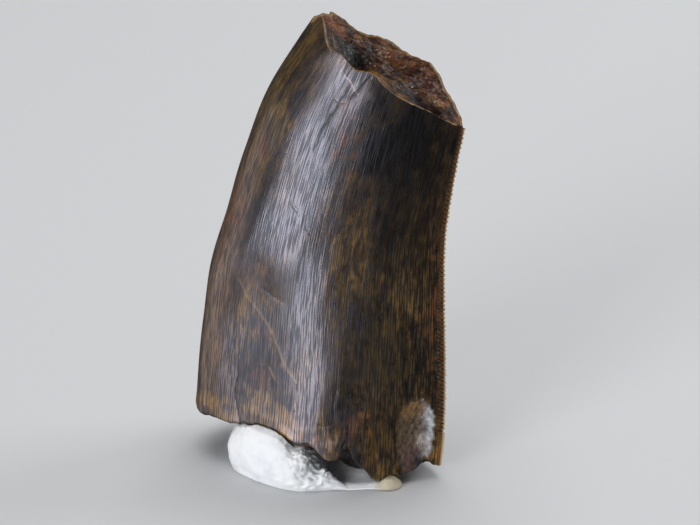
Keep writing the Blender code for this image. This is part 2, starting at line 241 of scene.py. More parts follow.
def cylinder_place(angle, z):
    """(r cos p, r sin p, z), where r is the half girth over pi, and p is pi times the share of it."""
    turn = np.pi * np.sign(angle) * np.interp(np.abs(angle), arc_angles, arc_lengths) / HALF_GIRTH
    radius = HALF_GIRTH / np.pi
    return np.stack((radius * np.cos(turn), radius * np.sin(turn), z), -1)


def outward_normals(points):
    """Unit normals of a grid of points: the cross product of its two differences."""
    along, up = np.gradient(points, axis=1), np.gradient(points, axis=0)
    normal = np.cross(along, up)
    return normal / np.maximum(np.linalg.norm(normal, axis=-1, keepdims=True), 1e-9)


# Cracks of the labial enamel, those along it and those across it: points x, z along each, half its width,
# how dark it is, or how pale where mineral healed it and that is negative, and how deep it is
CRACKS_ALONG = (
    (((-6.4, 10.8), (-6.5, 9.2), (-6.8, 7.7), (-6.5, 6.1), (-6.2, 4.6)), 0.07, 0.9, 0.06),
    (((-0.9, 27.6), (-0.5, 27.1), (-0.1, 26.5)), 0.06, 0.8, 0.02),
    (((4.1, 40.9), (3.7, 40.0)), 0.07, 1.0, 0.04),
    (((4.5, 40.6), (4.1, 39.8)), 0.06, 0.9, 0.03),
    (((6.1, 39.9), (5.0, 38.4), (4.4, 37.8)), 0.07, 1.0, 0.04),
    (((4.3, 38.8), (2.4, 35.4), (1.8, 34.3), (1.2, 32.6)), 0.06, 0.9, 0.03),
    (((3.4, 9.9), (3.2, 8.2), (3.3, 6.6)), 0.06, 0.7, 0.02),
    (((5.5, 5.4), (5.6, 3.6), (5.4, 2.6)), 0.07, 0.8, 0.03),
)
CRACKS_ACROSS = (
    (((-3.9, 18.7), (-2.8, 18.2), (-1.7, 17.8)), 0.07, 0.8, 0.03),
    (((0.6, 25.4), (1.1, 24.7)), 0.06, 0.8, 0.02),
    (((3.0, 37.5), (3.4, 37.2), (3.9, 37.3)), 0.05, 0.8, 0.02),
    (((1.9, 6.4), (2.6, 6.3), (3.4, 6.5)), 0.05, 0.8, 0.02),
    (((-6.2, 18.9), (-5.3, 17.3), (-3.9, 15.8), (-2.6, 14.1), (-1.4, 11.5), (-0.3, 10.2)), 0.13, -0.26, 0.0),
    (((3.5, 40.2), (4.4, 39.2), (5.0, 38.2)), 0.07, -0.45, 0.0),
    (((-3.1, 10.9), (-2.6, 10.0)), 0.1, -0.4, 0.0),
)
CRACK_WANDER = ((0.03, 1.1, 31), (0.015, 0.4, 32))
CRACK_REACH, CRACK_FADE, CRACK_GROOVE = 0.3, 0.2, 0.1


def line_place(x, z, line):
    """Where points lie by a line of straight stretches that is drawn on past its ends: their distance, less
    than 0 to its left, and how far past its ends they are."""
    nearest, past = np.full(x.shape, FAR), np.zeros(x.shape)
    for (x0, z0), (x1, z1) in zip(line[:-1], line[1:]):
        run, rise = x1 - x0, z1 - z0
        share = ((x - x0) * run + (z - z0) * rise) / (run * run + rise * rise)
        least = -FAR if (x0, z0) == line[0] else 0.0
        most = FAR if (x1, z1) == line[-1] else 1.0
        held = np.clip(share, least, most)
        distance = np.hypot(x - x0 - held * run, z - z0 - held * rise)
        side = np.where((x - x0) * rise - (z - z0) * run > 0, 1, -1)
        closer = distance < np.abs(nearest)
        nearest = np.where(closer, side * distance, nearest)
        over = np.maximum(held - 1, -held) * math.hypot(run, rise)
        past = np.where(closer, np.clip(over, 0, None), past)
    return nearest, past


def crack_field(x, z, cracks):
    """For each point, its distance to the nearest crack that it is in reach of, in half widths and less
    than 0 to the left, how dark that crack is, fading past its ends, and the groove: the crack's depth *
    bell(distance / width)."""
    wander = rippled(np.stack((x, z), -1), CRACK_WANDER)
    best, offset = np.full(x.shape, FAR), np.full(x.shape, FAR)
    shade, groove = np.zeros(x.shape), np.zeros(x.shape)
    for line, half_width, dark, deep in cracks:
        distance, past = line_place(x + wander, z, line)
        held = 1 - smooth_step(0.0, CRACK_FADE, past)
        closer = (np.abs(distance) < np.minimum(best, CRACK_REACH)) & (held > 0)
        best = np.where(closer, np.abs(distance), best)
        offset = np.where(closer, distance / half_width, offset)
        shade = np.where(closer, dark * held, shade)
        groove = np.maximum(groove, deep * held * bell(distance / CRACK_GROOVE))
    return offset, shade, groove


# The enamel's low swells and long ripples: their height, size and seed, and a factor on the place along
# the crown, less than 1 to draw them out. They reach full height 1.5 mm from the rims. The grit of the scar
# has a height, size and seed too, and the lower rim is worn round.
SWELLS = ((0.035, 5.0, 11, 0.6), (0.004, 0.9, 12, 0.12))
SWELLS_FULL = 1.5
SCAR_GRIT = ((0.04, 0.45, 13),)
RIM_WEAR, RIM_WEAR_HEIGHT = 0.22, 0.3


def sheet_of_wall(angles, shares):
    """A grid of points of the wall: shares up each column from its lower rim to its upper one, moved out by
    the swells and the grit, and in by the cracks and, at the lower rim, by wear * (1 - sqrt(1 - u^2)),
    where u runs from 1 on the rim to 0 at the wear's height. With the points go their places on the
    cylinder, the offset and shade of the cracks along and across, and how bare they are. A sheet has no
    notches and crests of its own."""
    low = rim_height(BASE_BREAK, angles, BASE_BREAK["rim"])
    high = rim_height(TIP_BREAK, angles, TIP_BREAK["rim"])
    z = low + (high - low) * shares[:, None]
    angle = np.broadcast_to(angles, z.shape)
    points = crown_wall(angle, z)
    place = cylinder_place(angle, z)
    swell = sum(height * ripples(place * (1, 1, drawn), size, seed) for height, size, seed, drawn in SWELLS)
    along, across = (crack_field(points[..., 0], z, cracks) for cracks in (CRACKS_ALONG, CRACKS_ACROSS))
    shades = np.where(angle > 0, (along[1], across[1]), 0)
    cracks = np.stack((along[0], shades[0], across[0], shades[1]), -1)
    grooves = np.where(angle > 0, np.maximum(along[2], across[2]), 0)
    bare = flake_scar(whole_wall(angle, z))[1]
    grit = rippled(place, SCAR_GRIT) * smooth_step(-0.2, 0.4, bare)
    out = (swell + grit) * smooth_step(0, SWELLS_FULL, np.minimum(z - low, high - z)) - grooves
    worn = RIM_WEAR * (1 - np.sqrt(1 - np.square(np.clip(1 - (z - low) / RIM_WEAR_HEIGHT, 0, 1))))
    worn = worn * smooth_step(0.0, 0.1, (1 - np.cos(angle)) / 2)
    normal = outward_normals(points)
    return {
        "points": points + normal * out[..., None] - normal * (1, 1, 0) * worn[..., None],
        "shares": shares, "grain": place, "cracks": cracks, "bare": bare,
        "notches": np.zeros(z.shape), "crests": np.zeros(z.shape),
    }


def even_rows(count):
    """Shares from 0 to 1, closer together at both ends: t - k sin(2 pi t) / (2 pi)."""
    t = np.linspace(0, 1, count + 1)
    return t - ROWS_DENSER_AT_ENDS * np.sin(2 * np.pi * t) / (2 * np.pi)


# The denticles: small chisels, each with a round crest, that stand side by side on the two carinae. A
# carina is a band of columns from one flank to the other, and its rows follow the denticles, which stand
# from low to high and a little farther apart towards the tip. Its rim is about where it meets the break.
DISTAL = {
    "low": 4.6, "high": 33.9, "count": 70, "stretch": 0.1, "seed": 21,
    "depth": 0.27, "tilt": 0.08, "rim": CROWN_HEIGHT - 8, "columns": 17,
}
MESIAL = {
    "low": 21.0, "high": 42.2, "count": 54, "stretch": 0.0, "seed": 22,
    "depth": 0.16, "rim": CROWN_HEIGHT, "columns": 11,
}
DENTICLE_ROWS, DENTICLE_ROUND, SMALLEST_DENTICLE = 9, 3.5, 0.78
PLAIN_ROW_STEP, LAST_ROW_GAP = 0.2, 0.05
DISTAL_FLANK = math.radians(20.5)
BLADE_PINCH, BLADE_BEHIND, BLADE_SPREAD, NOTCH_PINCH = 0.4, 0.3, 0.28, 0.45
MESIAL_CARINA_ANGLE, MESIAL_FLANK = math.radians(149.0), math.radians(3.2)
MESIAL_KEEL, MESIAL_KEEL_LOW, MESIAL_KEEL_FULL = 0.2, 9.0, 26.0


def denticle_rows(carina, low, high):
    """z of each row, and how proud the keel stands there: 1 - |2t - 1|^3.5 over each denticle, where t runs
    from 0 to 1 from notch to notch, times a size that varies a little from one to the next. Below the
    denticles it is 1."""
    place = np.arange(carina["count"] + 1) / carina["count"]
    spread = (1 - carina["stretch"]) * place + carina["stretch"] * place**2
    notches = carina["low"] + (carina["high"] - carina["low"]) * spread
    t = np.linspace(0, 1, DENTICLE_ROWS, endpoint=False)
    z = (notches[:-1, None] + np.diff(notches)[:, None] * t).ravel()
    size = np.random.default_rng(carina["seed"]).uniform(SMALLEST_DENTICLE, 1.0, carina["count"])
    sunk = (1 - size[:, None] * (1 - np.abs(2 * t - 1) ** DENTICLE_ROUND)).ravel()
    kept = z < high - LAST_ROW_GAP
    plain = np.linspace(low, carina["low"], round((carina["low"] - low) / PLAIN_ROW_STEP), endpoint=False)
    rows = np.concatenate((plain, z[kept], (high,)))
    return rows, 1 - np.concatenate((np.zeros(len(plain)), sunk[kept], (0.0,)))


def carina_band(carina, angles):
    """The sheet of wall under a carina, z of its rows, and how proud the keel stands in each."""
    crest = angles[[len(angles) // 2]]
    low = rim_height(BASE_BREAK, crest, BASE_BREAK["rim"])[0]
    high = rim_height(TIP_BREAK, crest, carina["rim"])[0]
    rows, proud = denticle_rows(carina, low, high)
    return sheet_of_wall(angles, (rows - low) / (high - low)), rows[:, None], proud[:, None]


def distal_band():
    """The distal carina. The section's edge is drawn in to a blade, h' = h * (1 - pinch * bell((d - behind)
    / spread)) at a depth d behind the edge, and the notches are cut into it by depth * (1 - proud) * (1 -
    |s|^1.6), where s runs from -1 on one flank to 1 on the other."""
    s = np.linspace(-1, 1, DISTAL["columns"])
    sheet, _, proud = carina_band(DISTAL, -DISTAL_FLANK * np.sign(s) * np.abs(s) ** 1.1)
    points = sheet["points"]
    edge, middle = (points[:, [len(s) // 2], axis] for axis in (0, 1))
    pinch = BLADE_PINCH * bell((edge - points[..., 0] - BLADE_BEHIND) / BLADE_SPREAD)
    points[..., 1] = middle + (points[..., 1] - middle) * (1 - pinch)
    hold = 1 - np.abs(s) ** 1.6
    notches = (1 - proud) * hold
    points[..., 0] -= DISTAL["depth"] * notches
    points[..., 1] -= (points[..., 1] - middle) * NOTCH_PINCH * notches
    points[..., 2] += DISTAL["tilt"] * proud * hold * np.where(proud < 1, 1, 0)
    return sheet | {"notches": notches, "crests": np.broadcast_to(hold, notches.shape)}


def mesial_band():
    """The mesial carina: a low keel on the lingual face, full height from 26 mm up, that carries finer
    denticles. It stands out from the wall by (keel + depth * proud) * fullness * cos(pi s / 2)^0.7."""
    s = np.linspace(-1, 1, MESIAL["columns"])
    sheet, rows, proud = carina_band(MESIAL, -MESIAL_CARINA_ANGLE - s * MESIAL_FLANK)
    full = smooth_step(MESIAL_KEEL_LOW, MESIAL_KEEL_FULL, rows)
    hold = np.cos(np.pi * s / 2) ** 0.7
    lift = full * (MESIAL_KEEL + MESIAL["depth"] * proud) * hold
    points = sheet["points"] + outward_normals(sheet["points"]) * lift[..., None]
    return sheet | {"points": points, "notches": (1 - proud) * hold * full, "crests": hold * full}


def arc_columns(start, end, count):
    """Angles evenly apart along the arc between two angles of one face, without the two."""
    ends = np.interp(np.abs((start, end)), arc_angles, arc_lengths)
    return np.sign(start + end) * np.interp(np.linspace(*ends, count + 2)[1:-1], arc_lengths, arc_angles)


def cell_faces(number):
    """Two triangles for each cell of a grid of point numbers."""
    a, b, c, d = number[:-1, :-1], number[:-1, 1:], number[1:, 1:], number[1:, :-1]
    return np.concatenate((np.stack((a, b, c), -1).reshape(-1, 3), np.stack((a, c, d), -1).reshape(-1, 3)))


def zip_faces(left, left_share, right, right_share):
    """Triangles between two lines of points with different numbers of points. Each step up one line makes a
    triangle with the point of the other line that it has reached by its share of the way."""
    reach = np.searchsorted(right_share[1:], left_share[1:], side="left")
    up_left = np.stack((left[:-1], right[reach], left[1:]), -1)
    reach = np.searchsorted(left_share[1:], right_share[1:], side="right")
    up_right = np.stack((left[reach], right[:-1], right[1:]), -1)
    return np.concatenate((up_left, up_right))


def inside_loop(x, y, loop):
    """True where a ray to +x from the point crosses the loop's edges an odd number of times."""
    x0, y0 = loop.T
    x1, y1 = np.roll(x0, -1), np.roll(y0, -1)
    spans = (y0 > y[:, None]) != (y1 > y[:, None])
    rise = np.where(y1 == y0, 1e-12, y1 - y0)
    crossing = x0 + (y[:, None] - y0) * (x1 - x0) / rise
    return (spans & (x[:, None] < crossing)).sum(1) % 2 == 1


# The dentine of a break lies a little under the enamel's edge. The triangulation keeps the inside alone,
# and takes points nearer than the last value, in mm, for one.
DENTINE_SUNK, DENTINE_SUNK_FROM, DENTINE_SUNK_FULL = 0.12, 0.2, 0.5
INSIDE_ONLY, MERGE_DISTANCE = 1, 1e-7


def close_break(rim, face, first):
    """Fills the rim of a broken face, whose points have the numbers in rim. Points on a triangular lattice,
    shifted at random by a quarter of a cell, take the face's height, and a Delaunay triangulation joins
    them to the rim. Returns the new points, which are numbered from first on, the faces and each new
    point's distance to the rim."""
    loop, cell = wall_points[rim, :2], face["cell"]
    low, high = loop.min(0), loop.max(0)
    columns = np.arange(low[0], high[0], cell)
    rows = np.arange(low[1], high[1], cell * math.sqrt(3) / 2)
    x, y = (side.ravel() for side in np.meshgrid(columns, rows))
    x = x + cell / 2 * (np.arange(len(rows)) % 2).repeat(len(columns))
    x, y = (np.stack((x, y)) + np.random.default_rng(len(x)).uniform(-0.25, 0.25, (2, len(x))) * cell)
    kept = inside_loop(x, y, loop)
    x, y = x[kept], y[kept]
    to_rim = np.sqrt(((np.stack((x, y), -1)[:, None] - loop) ** 2).sum(-1).min(1))
    kept = to_rim > 0.6 * cell
    x, y, to_rim = x[kept], y[kept], to_rim[kept]
    z = broken_face(face, x, y) - DENTINE_SUNK * smooth_step(DENTINE_SUNK_FROM, DENTINE_SUNK_FULL, to_rim)
    flat = np.concatenate((loop, np.stack((x, y), -1))).tolist()
    here = np.arange(len(loop))
    edges = np.stack((here, np.roll(here, -1)), -1).tolist()
    found = delaunay_2d_cdt(flat, edges, [], INSIDE_ONLY, MERGE_DISTANCE)
    origin = np.concatenate(found[3])
    numbers = np.concatenate((rim, first + np.arange(len(x))))
    return np.stack((x, y, z), -1), numbers[origin[np.array(found[2])]], to_rim


near, far = (-MESIAL_CARINA_ANGLE + side * MESIAL_FLANK for side in (1, -1))
past_keel = arc_columns(far, -np.pi, PAST_KEEL_COLUMNS)
labial_side = arc_columns(np.pi, DISTAL_FLANK, LABIAL_COLUMNS)
sheets = (
    distal_band(),
    sheet_of_wall(arc_columns(-DISTAL_FLANK, near, LINGUAL_COLUMNS), even_rows(WALL_ROWS)),
    mesial_band(),
    sheet_of_wall(np.concatenate((past_keel, (np.pi,), labial_side)), even_rows(WALL_ROWS)),
)


def of_wall(name):
    """One of the arrays of all four sheets, joined, one row a point."""
    return np.concatenate([sheet[name].reshape(sheet["bare"].size, -1) for sheet in sheets])


wall_points = of_wall("points")
grids = [sheet["bare"] for sheet in sheets]
starts = np.cumsum([0] + [grid.size for grid in grids])
numbers = [start + np.arange(grid.size).reshape(grid.shape) for start, grid in zip(starts, grids)]
wall_faces = [cell_faces(number) for number in numbers]
for left, right in ((0, 1), (1, 2), (2, 3), (3, 0)):
    shares = sheets[left]["shares"], sheets[right]["shares"]
    wall_faces.append(zip_faces(numbers[left][:, -1], shares[0], numbers[right][:, 0], shares[1]))
wall_faces = np.concatenate(wall_faces)
low_rim, high_rim = (np.concatenate([number[row] for number in numbers]) for row in (0, -1))
tip_points, tip_faces, tip_inner = close_break(high_rim, TIP_BREAK, len(wall_points))
base_points, base_faces, base_inner = close_break(low_rim, BASE_BREAK, len(wall_points) + len(tip_points))
breaks = np.concatenate((tip_points, base_points))
crown_faces = np.concatenate((wall_faces, tip_faces, base_faces[:, ::-1]))

SHARP_EDGE = math.radians(40.0)
ATTRIBUTE_KINDS = {1: ("FLOAT", "value"), 3: ("FLOAT_VECTOR", "vector"), 4: ("FLOAT_COLOR", "color")}


def mesh_of(name, points, faces):
    """A mesh from an array of points, in millimetres, and one of faces, smooth but for its sharp edges."""
    mesh = bpy.data.meshes.new(name)
    mesh.from_pydata(points * MM, [], faces)
    mesh.shade_smooth()
    mesh.set_sharp_from_angle(angle=SHARP_EDGE)
    return mesh


def store(mesh, name, values):
    """Keeps an array of values, one row a point, as an attribute that a material reads."""
    kind, field = ATTRIBUTE_KINDS[values.shape[1]]
    mesh.attributes.new(name, kind, "POINT").data.foreach_set(field, values.astype(np.float32).ravel())


# A sunk lump of the upper break is a dark pit, and the enamel shows as a pale rim round a break
PIT_DEPTH = 0.7
ENAMEL_INSIDE, ENAMEL_OUTSIDE = 0.1, 0.35


def marks_on_breaks():
    """Red: how far a point is into one of the dark pits, the sum of the sunk lumps' bells. Green: 1 at the
    rim, fading over the thickness of the enamel. Blue: the creases between the scoops."""
    x, y, _ = tip_points.T
    pits = np.zeros(len(breaks))
    for *lump, height in TIP_BREAK["lumps"]:
        if height < -PIT_DEPTH:
            pits[:len(x)] += mound(x, y, *lump)
    rims = 1 - smooth_step(ENAMEL_INSIDE, ENAMEL_OUTSIDE, np.concatenate((tip_inner, base_inner)))
    creases = np.concatenate([
        scoops(points[:, 0], points[:, 1], *face["scoops"][0][1:])
        for points, face in ((tip_points, TIP_BREAK), (base_points, BASE_BREAK))
    ])
    return np.stack((pits, rims, creases, np.ones(len(breaks))), -1)


def linear(colour):
    """The linear RGBA of an sRGB colour such as "#8a6a3c"."""
    channels = np.array([int(colour[i:i + 2], 16) for i in (1, 3, 5)]) / 255
    return (*np.where(channels <= 0.04045, channels / 12.92, ((channels + 0.055) / 1.055) ** 2.4), 1.0)


# Where minerals stained the labial enamel, with painted shade and light in the rows marked so: x, z, the
# spreads, the colour and how strongly
LABIAL_STAINS_AND_SHADE = (
    (-9.6, 12.0, 1.5, 9.0, "#6a5238", 0.85),
    (-8.3, 22.0, 1.3, 6.0, "#6c5036", 0.8),
    (-6.0, 29.0, 1.2, 5.0, "#5e4830", 0.75),
    (-3.6, 34.5, 1.4, 4.0, "#51422a", 0.75),
    (-6.8, 25.6, 0.7, 1.6, "#8a5228", 0.7),
    (-3.8, 32.3, 0.7, 1.3, "#603622", 0.6),
    (-4.9, 24.6, 0.9, 2.2, "#241a18", 0.7),
    (-0.5, 36.3, 1.1, 1.5, "#1c1c26", 0.85),
    (0.5, 40.8, 0.8, 1.6, "#2c201c", 0.6),
    (1.7, 30.5, 0.7, 2.4, "#22262c", 0.7),
    (6.1, 32.3, 1.6, 1.6, "#0c0907", 0.95),
    (3.9, 34.0, 0.6, 3.4, "#6e4422", 0.7),
    (-6.3, 20.6, 0.9, 2.0, "#4c4650", 0.6),
    (-4.2, 19.6, 1.1, 1.4, "#7a5c48", 0.6),
    (-1.6, 16.2, 1.6, 1.2, "#3a3426", 0.75),
    (-5.0, 15.2, 1.0, 1.2, "#23242c", 0.85),
    (-3.6, 14.2, 0.5, 0.5, "#70442c", 0.7),
    (-0.6, 13.6, 0.6, 1.7, "#2c2f2e", 0.75),
    (-4.0, 11.6, 1.8, 0.9, "#282a30", 0.8),
    (-1.9, 10.2, 0.9, 0.7, "#1c1c28", 0.9),
    (-4.2, 9.0, 0.8, 0.6, "#5e3826", 0.6),
    (-7.6, 10.0, 0.8, 4.0, "#5c5458", 0.6),
    (-9.6, 5.4, 2.4, 1.1, "#86642e", 0.95),
    (-4.6, 6.3, 2.6, 1.1, "#745a2c", 0.95),
    (-0.9, 5.9, 1.9, 1.2, "#86622c", 0.9),
    (2.4, 4.4, 0.9, 1.5, "#9a7c68", 0.8),
    (4.5, 6.3, 0.6, 0.7, "#58281a", 0.7),
    (5.7, 6.3, 0.4, 0.9, "#7a4824", 0.6),
    (6.6, 4.2, 1.2, 2.0, "#5e4620", 0.8),
    # Partly a stain and partly painted light: the distal half is made lighter low down
    (7.0, 13.0, 2.6, 5.0, "#4a3c20", 0.6),
    (4.6, 17.0, 0.8, 2.0, "#14100a", 0.7),
    (5.0, 21.5, 0.6, 1.6, "#14100a", 0.6),
    (5.0, 11.0, 0.7, 1.2, "#120e0a", 0.6),
    # These two are partly stains and partly painted shade: the distal half is made darker high up
    (9.0, 34.0, 3.6, 6.0, "#0c0805", 0.9),
    (9.4, 25.0, 3.0, 5.0, "#130d07", 0.65),
    (11.3, 2.2, 0.9, 1.8, "#a8782e", 1.0),
    (11.2, 17.0, 0.6, 6.5, "#6a4420", 0.8),
)
# Those of the lingual face, which are a guess: the same again
LINGUAL_STAINS = (
    (-8.5, 14.0, 2.0, 11.0, "#5e4830", 0.85),
    (-4.5, 33.0, 2.2, 6.0, "#4c3c28", 0.8),
    (4.0, 36.0, 4.0, 3.5, "#1c1812", 0.85),
    (-1.0, 22.0, 2.6, 4.5, "#34302c", 0.7),
    (6.0, 21.0, 2.4, 4.0, "#5a4424", 0.7),
    (1.5, 11.0, 3.4, 3.0, "#3e3634", 0.75),
    (7.5, 8.0, 2.2, 3.0, "#1e170e", 0.75),
    (0.0, 4.6, 9.0, 1.4, "#7a5a2c", 0.85),
)
# Those of the bare scar, with two pale ones along its distal rim that are a painted highlight and a
# dark one at its foot that is painted shade: the same again
SCAR_STAINS_AND_LIGHT = (
    (8.6, 5.0, 1.8, 5.0, "#5c4a32", 0.9),
    (9.0, 7.4, 1.2, 0.9, "#86622e", 0.9),
    (8.8, 2.6, 1.2, 1.4, "#5e4440", 0.8),
    # A painted highlight: the pale crescent along the scar's distal rim
    (10.9, 5.7, 0.5, 2.4, "#c0c6ce", 1.0),
    (10.4, 4.0, 0.6, 0.8, "#a89c94", 0.8),
    # Painted shade: the dark spot at the scar's foot
    (10.4, 1.6, 0.7, 0.8, "#1c1622", 1.0),
)
# Where the enamel is dull, low on the mesial side: the same without a colour
DULL_PLACES = (
    (-4.5, 10.0, 4.5, 5.0, 1.0),
)
# The stains of the upper break, and the black of its two pits, which is painted shade: x, y, the
# spreads, the colour and how strongly. The lower break has one colour, a dark painted shade.
TIP_STAINS_AND_SHADE = (
    (0.6, 2.0, 1.1, 1.6, "#7c5036", 0.9),
    # Painted shade: the black of the two pits
    (2.9, -0.3, 1.6, 1.6, "#040405", 1.0),
    (9.3, -0.8, 2.0, 1.3, "#06070b", 1.0),
    (5.6, -1.2, 1.6, 0.7, "#6a4a1c", 0.9),
    (5.6, 1.4, 1.9, 0.6, "#2a1206", 0.9),
    (5.4, 3.4, 1.9, 0.9, "#5c361a", 0.8),
    (9.2, 2.6, 1.6, 1.2, "#4a2418", 0.7),
)
# Painted shade: the underside of the tooth, made near black over its dentine's own colour
UNDERSIDE_SHADE = (*linear("#160c07")[:3], 0.75)
# Noise makes the stains' outlines wander: height, size and seed, across the crown and along it. It also
# frays the scar. The labial stains give way to the lingual ones between 0.6 mm in front of the crown's
# middle and 1.2 mm behind it.
WARP_ACROSS, WARP_ALONG = ((0.45, 1.8, 51), (0.15, 0.6, 52)), ((0.6, 2.4, 53), (0.2, 0.8, 54))
SCAR_WARP, SCAR_FRAY = 0.4, ((0.1, 0.5, 55),)
LABIAL_FROM, LABIAL_FULL = 1.2, -0.6


def patch_paint(x, y, stains):
    """The colour of the patches, which are stains and, in a few rows, painted shade and highlight: each in
    turn takes the share strength * bell(distance across) * bell(distance along) of what was there. The
    fourth value is how much of the surface's own colour they cover in all."""
    colour, cover = np.zeros((len(x), 3)), np.full(len(x), 1e-6)
    for *place, shade, strength in stains:
        share = mound(x, y, *place, strength)
        all_cover = share + cover * (1 - share)
        colour += (np.array(linear(shade)[:3]) - colour) * (share / all_cover)[:, None]
        cover = all_cover
    return np.concatenate((colour, cover[:, None]), -1)


crown_mesh = mesh_of("tooth_enamel_and_dentine", np.concatenate((wall_points, breaks)), crown_faces)
x, y, z = wall_points.T
grain = of_wall("grain")
labial = smooth_step(LABIAL_FROM, LABIAL_FULL, y - LINGUAL_BOW * (z / CROWN_HEIGHT) ** 2)
warp_x, warp_z = rippled(grain, WARP_ACROSS), rippled(grain, WARP_ALONG)
painted = (patch_paint(x + warp_x, z + warp_z, table) for table in (LABIAL_STAINS_AND_SHADE, LINGUAL_STAINS))
wall_stains_and_shade = np.where(labial[:, None] > 0.5, *painted)
wall_stains_and_shade[:, 3] *= smooth_step(0.0, 1.0, np.abs(2 * labial - 1))
tip_stains_and_shade = patch_paint(tip_points[:, 0], tip_points[:, 1], TIP_STAINS_AND_SHADE)
underside_shade = np.broadcast_to(UNDERSIDE_SHADE, (len(base_points), 4))
bare = patch_paint(x + warp_x * SCAR_WARP, z + warp_z * SCAR_WARP, SCAR_STAINS_AND_LIGHT)
bare[:, 3] = (of_wall("bare")[:, 0] + rippled(grain, SCAR_FRAY)) * labial - (1 - labial)
dull = np.minimum(sum(mound(x, z, *place) for place in DULL_PLACES), 1) * labial
marks = np.stack((dull, of_wall("notches")[:, 0], of_wall("crests")[:, 0], np.ones(len(z))), -1)

# What the materials read: the scar's colour, its painted highlight and shade included, and how bare it is,
# the offset and shade of the cracks along and across, the place on the cylinder, the dull places, notches
# and crests, and the colour and cover of the stains and the painted shade. On the breaks the marks are the
# pits, the rim and the creases, and the grain is the place itself.
for name, of_sheets, of_breaks in (
    ("bare", bare, np.zeros((len(breaks), 4))),
    ("cracks", of_wall("cracks"), np.full((len(breaks), 4), FAR)),
    ("grain", grain, breaks),
    ("marks", marks, marks_on_breaks()),
    ("stain_and_shade", wall_stains_and_shade, np.concatenate((tip_stains_and_shade, underside_shade))),
):
    store(crown_mesh, name, np.concatenate((of_sheets, of_breaks)))
crown_mesh.polygons.foreach_set("material_index", np.arange(len(crown_faces)) >= len(wall_faces))


def add_node(tree, kind, inputs=(), stops=(), **settings):
    """Adds a shader node with its own settings, and returns its outputs. Each input is given a value or the
    output that feeds it, and stops are the places and colours of a colour ramp."""
    node = tree.nodes.new("ShaderNode" + kind)
    for name, value in settings.items():
        setattr(node, name, value)
    for key, value in inputs.items() if isinstance(inputs, dict) else enumerate(inputs):
        if isinstance(value, bpy.types.NodeSocket):
            tree.links.new(value, node.inputs[key])
        else:
            node.inputs[key].default_value = value
    for _ in stops[2:]:
        node.color_ramp.elements.new(1.0)
    for element, (place, colour) in zip(node.color_ramp.elements if stops else (), stops):
        element.position, element.color = place, linear(colour)
    return node.outputs


def new_material(name):
    """An empty node material, and the function that adds a node to it."""
    material = bpy.data.materials.new(name)
    material.use_nodes = True
    material.node_tree.nodes.clear()
    return material, partial(add_node, material.node_tree)


COLOUR_MIX, RESULT = {"data_type": "RGBA"}, 2
COLOUR_PRODUCT = {"data_type": "RGBA", "blend_type": "MULTIPLY"}
MINERAL_IOR = 1.6
DIRT = "#0c0504"
# The lines stand 0.23 mm apart at a height of 20 mm
LINES_ROUND = round(2 * HALF_GIRTH / 0.23)


def covered_by_patches(add, own, stain_and_shade, noise, uneven, low, high):
    """The surface's own colour under its stains and painted shade, which cover it more and more as cover +
    uneven * (noise - 0.5) goes from low to high."""
    cover = add("Math", (noise, uneven, -uneven / 2), operation="MULTIPLY_ADD")[0]
    cover = add("Math", (stain_and_shade["Alpha"], cover), operation="ADD")[0]
    cover = add("MapRange", (cover, low, high))[0]
    return add("Mix", {0: cover, 6: own, 7: stain_and_shade["Color"]}, **COLOUR_MIX)[RESULT]


